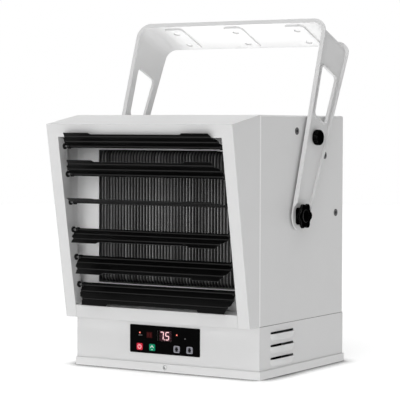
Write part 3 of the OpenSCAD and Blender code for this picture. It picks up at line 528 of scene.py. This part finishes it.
# %% Bars, rings and pointers
def bar(x, z, mid_x, mid_z, width, height):
    """1 inside an upright rectangle."""
    return (abs(x - mid_x) < width / 2) * (abs(z - mid_z) < height / 2)


def ring(x, z, mid_x, mid_z, radius, line):
    """1 on a circle's line."""
    dx, dz = x - mid_x, z - mid_z
    return abs((dx * dx + dz * dz).root() - radius) < line / 2


def pointer(x, z, mid_x, mid_z, size, way):
    """1 inside a triangle that points up (way 1) or down (way -1)."""
    height = (z - mid_z) * way
    return (height > -size / 4) * (abs(x - mid_x) * 1.3 + height < size / 2)


KEYS = ("power", "mode", "up", "down")
for key in KEYS:
    low, high = corners("button_" + key)
    print("key", key, "is centred on x =", round((low.x + high.x) / 2, 1))

# %% [markdown]
# ## The keys
# Four small square keys of moulded plastic. Each has its own sign on the
# cap: a switch sign on the red key, a roof on the green one, and an arrow up
# and an arrow down on the grey ones. The sign is only printed on the front
# of the cap, so the mask is cut off behind the cap's first half millimetre.
# All the sizes are in millimetres, from the middle of the key.

# %% Colour the keys
FIELD_W, FIELD_H = 7.4, 8.2


def key_finish(node, low_tone, high_tone, ink, sign, field=None):
    """A key's plastic with its sign, and a field of its own behind it."""
    low, high = corners(node)
    mid_x, mid_z = (low.x + high.x) / 2, (low.z + high.z) / 2
    finish = Finish(node + "_plastic")
    spot, (x, y, z) = place_of(finish)
    tool = grain(finish, spot, 0.5)
    body = finish.mix(tool, low_tone, high_tone)
    cap = y < low.y + 0.5
    if field:
        inner = bar(x, z, mid_x, mid_z, FIELD_W, FIELD_H)
        body = finish.mix(inner * cap, body, field)
    printed = sign(x, z, mid_x, mid_z) * cap
    return finish.surface(Base_Color=finish.mix(printed, body, ink),
                          Roughness=0.38 + 0.12 * tool, Specular_IOR_Level=0.1,
                          Normal=bumped(finish, tool, 0.01, 0.4, edge=0.5))


def switch_sign(x, z, mid_x, mid_z):
    """A ring that is open at the top, with an upright bar in the gap."""
    gap = bar(x, z, mid_x, mid_z + 3.0, 2.4, 3.2)
    stem = bar(x, z, mid_x, mid_z + 2.2, 1.0, 3.4)
    return (ring(x, z, mid_x, mid_z, 3.1, 1.3) * (1 - gap)).above(stem)


def roof_sign(x, z, mid_x, mid_z):
    """A roof with a short line under it."""
    roof = abs(abs(x - mid_x) * 1.15 + (z - mid_z) - 2.8) < 0.85
    return (roof * (z > mid_z - 0.7)).above(bar(x, z, mid_x, mid_z - 3.6, 3.0, 0.7))


def arrow_sign(way):
    """The sign of a grey key: an arrow up (way 1) or down (way -1)."""
    def sign(x, z, mid_x, mid_z):
        head = pointer(x, z, mid_x, mid_z + 0.6 * way, 6.6, way)
        return head.above(bar(x, z, mid_x, mid_z - 2.2 * way, 3.0, 3.0))
    return sign


pink_ink, white_ink = colour(1.0, 0.76, 0.78), colour(0.95, 0.93, 0.93)
dark_ink = colour(0.02)
red = colour(0.84, 0.16, 0.25), colour(0.9, 0.22, 0.3)
green = colour(0.03, 0.52, 0.38), colour(0.06, 0.6, 0.44)
grey = colour(0.58, 0.58, 0.61), colour(0.66, 0.66, 0.69)
grey_field = colour(0.42, 0.42, 0.45)
key_finishes = {
    "button_power": key_finish("button_power", *red, pink_ink, switch_sign),
    "button_mode": key_finish("button_mode", *green, white_ink, roof_sign),
    "button_up": key_finish("button_up", *grey, dark_ink, arrow_sign(1),
                            grey_field),
    "button_down": key_finish("button_down", *grey, dark_ink, arrow_sign(-1),
                              grey_field),
}
print("keys:", sorted(key_finishes))

# %% [markdown]
# ## The film of the control panel
# The film is printed from behind, so its face stays perfectly glossy. It has
# a dark red window for a second display that is switched off, and a few
# small grey marks beside the lamps. Their places are given in millimetres
# from the lower left corner of the film.

# %% Print the film
def film_finish():
    low, high = corners("control_panel")
    left, foot = low.x, low.z
    finish = Finish("printed_film")
    spot, (x, y, z) = place_of(finish)
    smear = grain(finish, stretched(finish, spot, 1.0, 1.0, 0.4), 18.0, 3.0)
    ground = finish.mix(smear, colour(0.006), colour(0.02))
    row = foot + 29.4
    off_window = bar(x, z, left + 37.4, row, 11.0, 9.6)
    digit = (bar(x, z, left + 35.0, row, 2.9, 6.4)
             .above(bar(x, z, left + 39.6, row, 2.9, 6.4)))
    marks = (bar(x, z, left + 20.2, foot + 28.4, 7.2, 1.2)
             .above(bar(x, z, left + 105.2, foot + 27.4, 2.2, 1.8)))
    shade = finish.mix(off_window, ground, colour(0.2, 0.07, 0.075))
    shade = finish.mix(off_window * digit, shade, colour(0.28, 0.1, 0.1))
    shade = finish.mix(marks, shade, colour(0.42))
    return finish.surface(Base_Color=shade, Roughness=0.1 + 0.1 * smear,
                          Specular_IOR_Level=0.02,
                          Normal=bumped(finish, smear, 0.02, 0.15, edge=0.3))


film = film_finish()
print("film:", film.name)

# %% [markdown]
# ## The window and the lamps
# Behind the film's window sits a block of digits. The window is smoked red
# acrylic: it lets the digits shine through and darkens everything else. In
# the shader that is an alpha below one. The two small lamps are clear red
# plastic with a lit chip inside, brighter at the tip.

# %% Smoke the window and light the lamps
window_finish = Finish("smoked_window")
spot, (x, y, z) = place_of(window_finish)
haze = grain(window_finish, spot, 5.0)
lit_low, lit_high = corners("display_window")
GLOW_X, GLOW_W, GLOW_H = 0.7, 11.9, 9.6  # place and half sizes of the glow
# Painted glow: over the digits' field the window gets a reddish tone and light of its
# own, for the digits' light that spreads in the smoked acrylic.
aside = abs(x - (lit_low.x + lit_high.x) / 2 - GLOW_X) / GLOW_W
above = abs(z - (lit_low.z + lit_high.z) / 2) / GLOW_H
glow = ((1 - aside.above(above)) * 4.0).above(0.0).below(1.0)
window_glass = window_finish.surface(
    Base_Color=window_finish.mix(haze * glow, colour(0.02), colour(0.2, 0.06, 0.08)),
    Emission_Color=window_finish.mix(glow, colour(0.0), colour(0.46, 0.29, 0.34)),
    Emission_Strength=0.5, Specular_IOR_Level=0.1,
    Roughness=0.08 + 0.06 * haze, Alpha=0.3 + 0.05 * haze)

lamp_tip = corners("indicator_leds")[0].y
lamp_finish = Finish("lit_lamp")
spot, (x, y, z) = place_of(lamp_finish)
TIP = 1.0  # the lamp is bright over its first millimetre
tip = 1 - ((y - lamp_tip) / TIP).below(1.0)
lamp = lamp_finish.surface(
    Base_Color=lamp_finish.mix(tip, colour(0.3, 0.03, 0.03), colour(0.8, 0.2, 0.17)),
    Emission_Color=lamp_finish.mix(tip, colour(0.25, 0.01, 0.01),
                                   colour(1.0, 0.62, 0.54)),
    Emission_Strength=1.0, Roughness=0.2 + 0.1 * tip)
print("window and lamps:", window_glass.name, lamp.name)

# %% [markdown]
# ## Dress the ready-made pieces
# Every piece names a material slot in the heater's record. A small table
# from slot to finish dresses most of them at once. The louvers, the keys, the
# knobs and a few painted sheets have a finish of their own, by name.

# %% Give every piece its finish
slot_finish = {
    "painted_steel": white_coat, "bracket_paint": bracket_coat,
    "black_paint": guard_black, "zinc_steel": zinc, "fin_steel": fins,
    "tube_steel": drawn_tube, "fan_steel": fan_steel, "motor_steel": motor_coat,
    "black_plastic": black_plastic, "nylon": nylon, "panel_film": film,
    "lens_red": window_glass, "led_red": lamp, "board": board, "rubber": rubber,
}
own_finish = {
    "casing": casing_coat, "outlet_hood": hood_coat, "base_box": base_coat,
    "hood_sill": sill_coat, "baffle_plate": baffle_lit_coat, "rivet_nuts": dull_zinc,
    **louver_finishes, **key_finishes,
}
for side in ("left", "right"):
    own_finish["pivot_knob_" + side] = own_finish["lock_knob_" + side] = knob_black
slot_of = {part["node"]: part["material_slot"] for part in frame["record"]["subparts"]}


def dress(piece, finish):
    piece.data.materials.clear()
    piece.data.materials.append(finish)
    for face in piece.data.polygons:
        face.material_index = 0


for name, piece in frame["nodes"].items():
    dress(piece, own_finish.get(name) or slot_finish[slot_of[name]])
print("dressed", len(frame["nodes"]), "pieces from", len(slot_finish), "slots")

# %% [markdown]
# ## A workbench for new pieces
# The pieces below are made here, in mesh code. Each one is built in a bmesh,
# becomes an object, takes a finish, and rides on the body of the heater that
# carries it, so it moves when that body moves.

# %% Make a piece and hang it on its body
def new_object(name, build):
    """An object in the scene whose mesh is drawn by build."""
    mesh = bpy.data.meshes.new(name)
    work = bmesh.new()
    build(work)
    bmesh.ops.recalc_face_normals(work, faces=work.faces)
    work.to_mesh(mesh)
    work.free()
    made = bpy.data.objects.new(name, mesh)
    bpy.context.scene.collection.objects.link(made)
    return made


def make_piece(name, build, finish, body):
    """A new piece of the heater, dressed and on its body."""
    piece = new_object(name, build)
    dress(piece, finish)
    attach(piece, body)
    return piece


def prism(work, outline, y_front, y_back):
    """A block with the given outline in X and Z, in metres."""
    front = [work.verts.new((x, y_front, z)) for x, z in outline]
    back = [work.verts.new((x, y_back, z)) for x, z in outline]
    count = len(outline)
    work.faces.new(front)
    work.faces.new(back[::-1])
    for i in range(count):
        j = (i + 1) % count
        work.faces.new((front[i], back[i], back[j], front[j]))


print("the workbench is ready")

# %% [markdown]
# ## Lit digits
# A seven-segment digit is seven bars with pointed ends, leaning a little to
# the right. Each digit is a short list of the bars that are lit. They glow
# pinkish white, because red light behind smoked acrylic saturates the eye
# and the camera alike.

# %% Build the two digits and their point
DIGIT_H, DIGIT_W, BAR_W, LEAN = 12.0 * MM, 5.8 * MM, 1.3 * MM, 0.08
SEVEN_X, FIVE_X = -7.0 * MM, 3.4 * MM
DOT_X, DOT_R, DOT_SIDES = -2.2 * MM, 0.8 * MM, 12
DIGIT_FRONT, DIGIT_BACK = 0.5 * MM, 1.0 * MM  # behind the window's face
SEGMENTS = {  # start and end of each bar, in half heights and widths
    "top": ((-1, 1), (1, 1)), "middle": ((-1, 0), (1, 0)), "foot": ((-1, -1), (1, -1)),
    "upper_left": ((-1, 0), (-1, 1)), "upper_right": ((1, 0), (1, 1)),
    "lower_left": ((-1, -1), (-1, 0)), "lower_right": ((1, -1), (1, 0)),
}
SEVEN = ("top", "upper_right", "lower_right")
FIVE = ("top", "upper_left", "middle", "lower_right", "foot")


def segment_outline(start, end, mid_x, mid_z):
    """A bar with pointed ends between two corners of a digit."""
    a = Vector((start[0] * DIGIT_W / 2, start[1] * DIGIT_H / 2))
    b = Vector((end[0] * DIGIT_W / 2, end[1] * DIGIT_H / 2))
    along = (b - a).normalized()
    across = Vector((-along.y, along.x)) * BAR_W / 2
    a, b = a + along * 0.2 * MM, b - along * 0.2 * MM
    inset = along * BAR_W / 2
    points = [a, a + inset - across, b - inset - across,
              b, b - inset + across, a + inset + across]
    return [(mid_x + p.x + LEAN * p.y, mid_z + p.y) for p in points]


def build_digits(work):
    low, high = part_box("display_window")
    mid_z = (low.z + high.z) / 2
    front, back = low.y + DIGIT_FRONT, low.y + DIGIT_BACK
    for mid_x, lit in ((SEVEN_X, SEVEN), (FIVE_X, FIVE)):
        for name in lit:
            prism(work, segment_outline(*SEGMENTS[name], mid_x, mid_z), front, back)
    turns = [t * math.tau / DOT_SIDES for t in range(DOT_SIDES)]
    dot_z = mid_z - DIGIT_H / 2
    dot = [(DOT_X + DOT_R * math.cos(turn), dot_z + DOT_R * math.sin(turn))
           for turn in turns]
    prism(work, dot, front, back)


digit_finish = Finish("lit_digits")
spot = place_of(digit_finish)[0]
flare = grain(digit_finish, spot, 1.5)
digit_glow = digit_finish.surface(
    Base_Color=digit_finish.mix(flare, colour(0.9, 0.6, 0.62), colour(1.0, 0.8, 0.8)),
    Emission_Color=digit_finish.mix(flare, colour(1.0, 0.8, 0.82),
                                    colour(1.0, 0.92, 0.92)),
    Emission_Strength=1.3, Roughness=0.4 + 0.1 * flare)
digits = make_piece("lit_digits", build_digits, digit_glow, "heater_body")
print("digits have", len(digits.data.polygons), "faces")

# %% [markdown]
# ## Screws with a real cross
# A screw head without its recess looks like a rivet. The ready-made screws
# give the places, sizes and directions. Each is replaced by one screw that
# is drawn once: a dished head turned from a profile, with a tapered cross
# cut into it, and a shank with a thread.

# %% Find the screws of a node
SCREW_REACH = 14 * MM  # points that are closer than this are on one screw
SCREW_NODES = ("pan_screws", "hood_screws", "rear_screws", "guard_screws",
               "deck_screws", "cover_screws")


def screw_places(node):
    """The middle, outward direction, length and head radius of each screw."""
    groups = []
    for vertex in frame["nodes"][node].data.vertices:
        for group in groups:
            if (group[0] - vertex.co).length < SCREW_REACH:
                group.append(vertex.co)
                break
        else:
            groups.append([vertex.co])
    found = []
    for group in groups:
        low = Vector([min(p[i] for p in group) for i in range(3)])
        high = Vector([max(p[i] for p in group) for i in range(3)])
        size = high - low
        middle = (low + high) / 2
        # A screw is round across its axis: there its box is closest to square.
        axis = min(range(3), key=lambda i: abs(size[(i + 1) % 3] - size[(i + 2) % 3]))
        reach = [(p - middle) for p in group]
        across = [i for i in range(3) if i != axis]
        rim = size[across[0]] * 0.45
        wide = [p for p in reach if math.hypot(p[across[0]], p[across[1]]) > rim]
        side = 1 if sum(p[axis] for p in wide) > 0 else -1
        direction = Vector((0, 0, 0))
        direction[axis] = side
        found.append({"middle": middle, "out": direction, "length": size[axis],
                      "radius": size[across[0]] / 2})
    return found


for name in SCREW_NODES:
    print(name, len(screw_places(name)))

# %% Draw one screw and set it in every place
HALF_PITCH = 0.45 * MM  # from a thread's crest to the groove beside it


def draw_screw(work, length, radius):
    """A screw along Z: the head's top at 0, the shank below it."""
    head, shank = radius * 0.55, radius * 0.475
    dish = [(0.0, 0.0), (0.35, 0.0), (0.62, -0.06), (0.84, -0.2), (0.96, -0.36),
            (1.0, -0.55)]
    profile = [(r * radius, z * radius) for r, z in dish]
    profile += [(shank, -head)]
    turns = 1
    while -profile[-1][1] < length - 2 * HALF_PITCH:
        depth = -profile[-1][1] + HALF_PITCH
        profile.append((shank if turns % 2 else shank * 0.86, -depth))
        turns += 1
    profile += [(0.0, -length)]
    steps = 24
    rings = []
    for r, z in profile:
        if r == 0.0:
            rings.append([work.verts.new((0, 0, z))])
        else:
            rings.append([work.verts.new((r * math.cos(i * math.tau / steps),
                                          r * math.sin(i * math.tau / steps), z))
                          for i in range(steps)])
    for upper, lower in zip(rings, rings[1:]):
        for i in range(steps):
            j = (i + 1) % steps
            if len(upper) == 1:
                work.faces.new((upper[0], lower[i], lower[j]))
            elif len(lower) == 1:
                work.faces.new((upper[i], lower[0], upper[j]))
            else:
                work.faces.new((upper[i], lower[i], lower[j], upper[j]))


def draw_cross(work, radius):
    """A tapered cross that cuts the driver's recess."""
    deep, wide, arm = 0.62 * radius, 0.17 * radius, 0.62 * radius
    outline = []
    for quarter in range(4):
        turn = Matrix.Rotation(quarter * math.pi / 2, 2)
        for p in ((wide, wide), (wide, arm), (-wide, arm)):
            outline.append(turn @ Vector(p))
    top = [work.verts.new((p.x, p.y, 0.2 * radius)) for p in outline]
    foot = [work.verts.new((p.x * 0.45, p.y * 0.45, -deep)) for p in outline]
    work.faces.new(top)
    work.faces.new(foot[::-1])
    for i in range(len(outline)):
        j = (i + 1) % len(outline)
        work.faces.new((top[i], foot[i], foot[j], top[j]))


def cut_screw(length, radius):
    """The mesh of one finished screw."""
    blank = new_object("screw", lambda work: draw_screw(work, length, radius))
    cutter = new_object("cross_cutter", lambda work: draw_cross(work, radius))
    cut = blank.modifiers.new("cut", "BOOLEAN")
    cut.object, cut.operation, cut.solver = cutter, "DIFFERENCE", "EXACT"
    bpy.context.view_layer.update()
    finished = bpy.data.meshes.new_from_object(
        blank.evaluated_get(bpy.context.evaluated_depsgraph_get()))
    bpy.data.objects.remove(blank)
    bpy.data.objects.remove(cutter)
    return finished


def set_screws(node):
    """Replaces a node of plain screws by cut ones in the same places."""
    places = screw_places(node)
    template = cut_screw(places[0]["length"], places[0]["radius"])

    def build(work):
        for number, place in enumerate(places):
            turn = place["out"].to_track_quat("Z", "Y").to_matrix().to_4x4()
            # No two screws of a row come to rest at the same turn.
            spin = Matrix.Rotation(0.4 + 0.9 * number, 4, "Z")
            top = place["middle"] + place["out"] * place["length"] / 2
            before = len(work.verts)
            work.from_mesh(template)
            work.verts.ensure_lookup_table()
            bmesh.ops.transform(work, matrix=Matrix.Translation(top) @ turn @ spin,
                                verts=work.verts[before:])

    piece = make_piece(node + "_cut", build, zinc, "heater_body")
    for face in piece.data.polygons:
        face.use_smooth = True
    piece.data.set_sharp_from_angle(angle=math.radians(32))
    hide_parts(node)
    return len(places)


for name in SCREW_NODES:
    print(name, "set:", set_screws(name))

# %% [markdown]
# ## The camera
# The camera stands about three metres in front, a little to the right, and
# looks slightly down through a long lens, so the sides hardly converge. Its
# axes are worked out from three angles: turn, dip and lean.

# %% Stand the camera
TURN, DIP, LEAN_ANGLE = 0.55516, 0.04127, 0.003  # radians
PLACE = (1.52324, -2.49084, 0.39076)
LENS, SENSOR = 158.69, 36.0  # millimetres
ahead_flat = Vector((-math.sin(TURN), math.cos(TURN), 0))
right_flat = Vector((math.cos(TURN), math.sin(TURN), 0))
upright = Vector((0, 0, 1))
ahead = ahead_flat * math.cos(DIP) - upright * math.sin(DIP)
up = upright * math.cos(DIP) + ahead_flat * math.sin(DIP)
right_axis = math.cos(LEAN_ANGLE) * right_flat + math.sin(LEAN_ANGLE) * up
up_axis = math.cos(LEAN_ANGLE) * up - math.sin(LEAN_ANGLE) * right_flat
camera_data = bpy.data.cameras.new("camera")
camera_data.lens, camera_data.sensor_width = LENS, SENSOR
camera = bpy.data.objects.new("camera", camera_data)
bpy.context.scene.collection.objects.link(camera)
pose = Matrix((right_axis, up_axis, -ahead)).transposed().to_4x4()
pose.translation = Vector(PLACE)
camera.matrix_world = pose
bpy.context.scene.camera = camera
print("camera looks along", [round(v, 3) for v in ahead])

# %% [markdown]
# ## The studio
# The heater stands on a white sweep that is lit until it is as bright as the
# backdrop, so only the shade close to the base still shows. The floor gives
# off a little light of its own, as a lit acrylic table does, and that light
# fills the undersides. Where the floor can't see the open sky because the
# base is close by, it goes dark: that is the thin contact shade that sets
# the heater down. The room is white to the camera and to reflections,
# and dimmer as a source of light, so that the lamps can shape the heater.

# %% Lay the floor
CONTACT = 33 * MM  # how far the contact shade reaches


def build_floor(work):
    """A round sheet, wide enough to end far outside the picture."""
    bmesh.ops.create_circle(work, cap_ends=True, radius=6.0, segments=64)


floor_finish = Finish("lit_floor")
spot = place_of(floor_finish)[0]
cloud = grain(floor_finish, spot, 300.0)
open_sky = floor_finish.node("ShaderNodeAmbientOcclusion", {"samples": 16},
                             {"Distance": CONTACT}, output=1)
seen_directly = floor_finish.node("ShaderNodeLightPath")  # Is Camera Ray
# Painted contact shade: for the camera, the floor's colour and light go dark where the
# ambient occlusion finds the base close by.
contact = ((1 - open_sky) * 2.0).below(1.0) * seen_directly
white = floor_finish.mix(cloud, colour(0.93), colour(0.94))
floor_material = floor_finish.surface(
    Base_Color=floor_finish.mix(contact, white, colour(0.25)), Roughness=0.9,
    Specular_IOR_Level=0.0,
    Emission_Color=floor_finish.mix(contact, colour(1.0), colour(0.1)),
    Emission_Strength=0.52)
floor = new_object("floor", build_floor)
dress(floor, floor_material)
print("the floor is", floor.dimensions.x, "metres across")

# %% Paint the room white
ROOM_LIGHT = 0.12  # its strength as a lamp; the camera and mirrors see 1
world = bpy.data.worlds.new("studio")
bpy.context.scene.world = world
world.use_nodes = True
tree = world.node_tree
path = tree.nodes.new("ShaderNodeLightPath")
seen = tree.nodes.new("ShaderNodeMath")
seen.operation = "MAXIMUM"
tree.links.new(path.outputs["Is Camera Ray"], seen.inputs[0])
glossy = tree.nodes.new("ShaderNodeMath")
glossy.operation = "MAXIMUM"
tree.links.new(path.outputs["Is Glossy Ray"], glossy.inputs[0])
tree.links.new(path.outputs["Is Transmission Ray"], glossy.inputs[1])
tree.links.new(glossy.outputs[0], seen.inputs[1])
strength = tree.nodes.new("ShaderNodeMapRange")
strength.inputs["To Min"].default_value = ROOM_LIGHT
strength.inputs["To Max"].default_value = 1.0
tree.links.new(seen.outputs[0], strength.inputs["Value"])
background = tree.nodes["Background"]
background.inputs["Color"].default_value = (1, 1, 1, 1)
tree.links.new(strength.outputs[0], background.inputs["Strength"])
print("the room gives", ROOM_LIGHT, "of full light")

# %% [markdown]
# ## The lamps
# A broad box overhead lights the top and lets the tone fall off down the
# sides. A second box stands in front, low and a little to the right, so it
# shines in between the louvers. Both are suns with a wide angle, which gives
# the soft edges of a big box. The photographer's trick for the bracket is a
# bright card on top of the heater: it throws light up under the top plate.
# The card is a lamp that the camera and the reflections can't see.

# %% Hang the lamps
def box_lamp(name, direction, strength, angle):
    """A sun with soft edges; direction points from the heater to it."""
    data = bpy.data.lights.new(name, "SUN")
    data.energy, data.angle = strength, math.radians(angle)
    made = bpy.data.objects.new(name, data)
    made.rotation_euler = Vector(direction).to_track_quat("Z", "Y").to_euler()
    bpy.context.scene.collection.objects.link(made)


def card_lamp(name, middle, width, depth, watts):
    """A flat lamp that lies level and shines upwards."""
    data = bpy.data.lights.new(name, "AREA")
    data.shape, data.size, data.size_y, data.energy = "RECTANGLE", width, depth, watts
    data.spread = math.radians(70)
    made = bpy.data.objects.new(name, data)
    made.location, made.rotation_euler = middle, (math.pi, 0, 0)
    made.visible_camera = made.visible_glossy = False
    bpy.context.scene.collection.objects.link(made)


box_lamp("ceiling_box", (0.0, -0.22, 1.0), 1.5, 70)
box_lamp("front_box", (0.25, -0.96, 0.12), 1.2, 40)
card_lamp("card", (0.015, 0.07, 0.425), 0.31, 0.14, 0.12)

# %% Set the tone curve
bpy.context.scene.view_settings.view_transform = "Standard"

# %% [markdown]
# ## Bring the scene up to date

# %% Update the scene
bpy.context.view_layer.update()
